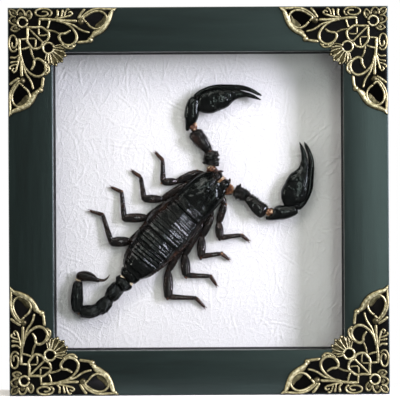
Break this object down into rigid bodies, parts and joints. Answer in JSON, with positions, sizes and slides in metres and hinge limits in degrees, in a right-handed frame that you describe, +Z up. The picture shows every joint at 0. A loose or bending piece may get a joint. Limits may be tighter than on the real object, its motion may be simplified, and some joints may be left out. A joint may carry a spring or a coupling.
{
  "type": "framed scorpion specimen",
  "caption": "Dried scorpion laid on an embossed white card inside a black glazed shadow-box frame with antique-brass filigree corners; stands on its bottom rail or hangs by its back.",
  "frame": {"origin": "under the middle of the frame, on the surface that the bottom rail stands on", "axes": "+Z up along the frame's height, -Y out of the glass towards the viewer, +X to the viewer's right"},
  "size_m": [0.17, 0.0294, 0.1735],
  "materials": {
    "black_wood": "satin black paint",
    "clear_glass": "clear, polished",
    "white_card": "matt white paper, embossed with a leathery crinkle",
    "brown_board": "plain hardboard",
    "steel": "bare, dull",
    "antique_brass": "antiqued: pale gold ridges, dark recesses",
    "dry_shell": "glossy black dried shell with a faint blue-green cast"
  },
  "bodies": {
    "root": {"rail_top": "black_wood", "rail_bottom": "black_wood", "rail_left": "black_wood", "rail_right": "black_wood", "glass_pane": "clear_glass", "spacer_top": "black_wood", "spacer_bottom": "black_wood", "spacer_left": "black_wood", "spacer_right": "black_wood", "embossed_card": "white_card", "back_board": "brown_board", "back_tab_top_1": "steel", "back_tab_top_2": "steel", "back_tab_bottom_1": "steel", "back_tab_bottom_2": "steel", "back_tab_left_1": "steel", "back_tab_left_2": "steel", "back_tab_right_1": "steel", "back_tab_right_2": "steel", "sawtooth_hanger": "steel", "corner_top_left": "antique_brass", "corner_top_right": "antique_brass", "corner_bottom_left": "antique_brass", "corner_bottom_right": "antique_brass", "scorpion_body": "dry_shell", "scorpion_tail": "dry_shell", "scorpion_pincer_left": "dry_shell", "scorpion_pincer_right": "dry_shell", "scorpion_leg_left_1": "dry_shell", "scorpion_leg_left_2": "dry_shell", "scorpion_leg_left_3": "dry_shell", "scorpion_leg_left_4": "dry_shell", "scorpion_leg_right_1": "dry_shell", "scorpion_leg_right_2": "dry_shell", "scorpion_leg_right_3": "dry_shell", "scorpion_leg_right_4": "dry_shell"}
  },
  "joints": []
}
